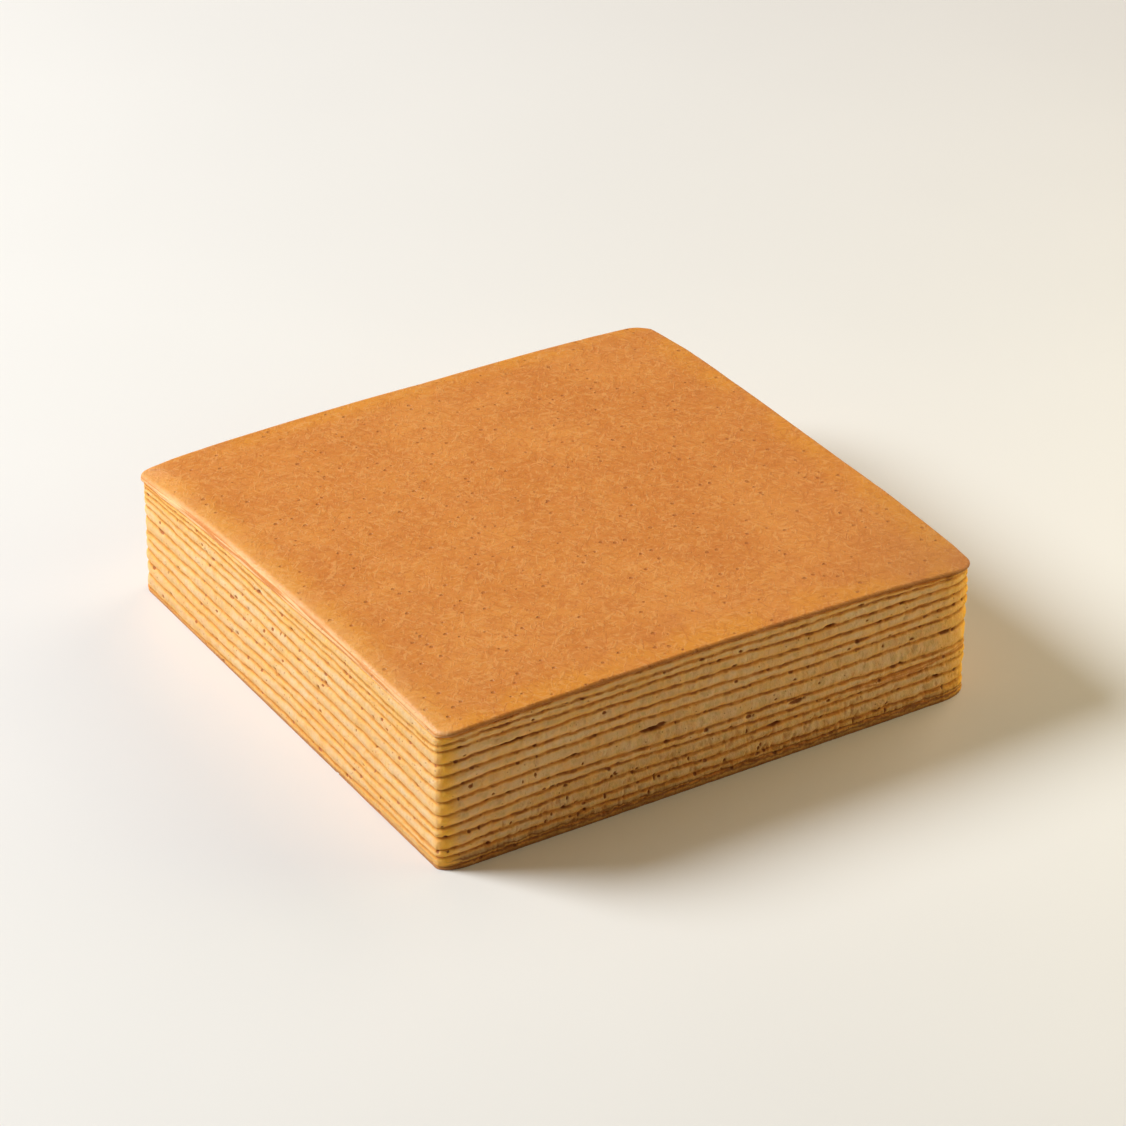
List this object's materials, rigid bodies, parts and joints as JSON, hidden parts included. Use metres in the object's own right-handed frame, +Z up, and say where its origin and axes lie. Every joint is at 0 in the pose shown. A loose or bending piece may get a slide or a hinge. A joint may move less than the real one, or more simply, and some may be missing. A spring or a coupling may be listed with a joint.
{
  "type": "lapis legit",
  "caption": "Square slab of baked layer cake, cut clean on every side, with thin golden layers, brown lines between them and a smooth caramel-brown top.",
  "frame": {"origin": "middle of the underside, on the surface that the cake stands on", "axes": "+Z up through the layers, +X along the longer visible side, towards the right corner, +Y away from that side"},
  "size_m": [0.2, 0.2, 0.0533],
  "materials": {
    "browned_base": "baked crumb with a browned underside, matt",
    "crumb": "fine buttery crumb, golden yellow with brown lines, matt",
    "crust": "smooth baked skin, caramel brown, soft sheen"
  },
  "bodies": {
    "root": {"layer_01": "browned_base", "layer_02": "crumb", "layer_03": "crumb", "layer_04": "crumb", "layer_05": "crumb", "layer_06": "crumb", "layer_07": "crumb", "layer_08": "crumb", "layer_09": "crumb", "layer_10": "crumb", "layer_11": "crumb", "layer_12": "crumb", "layer_13": "crust"}
  },
  "joints": []
}
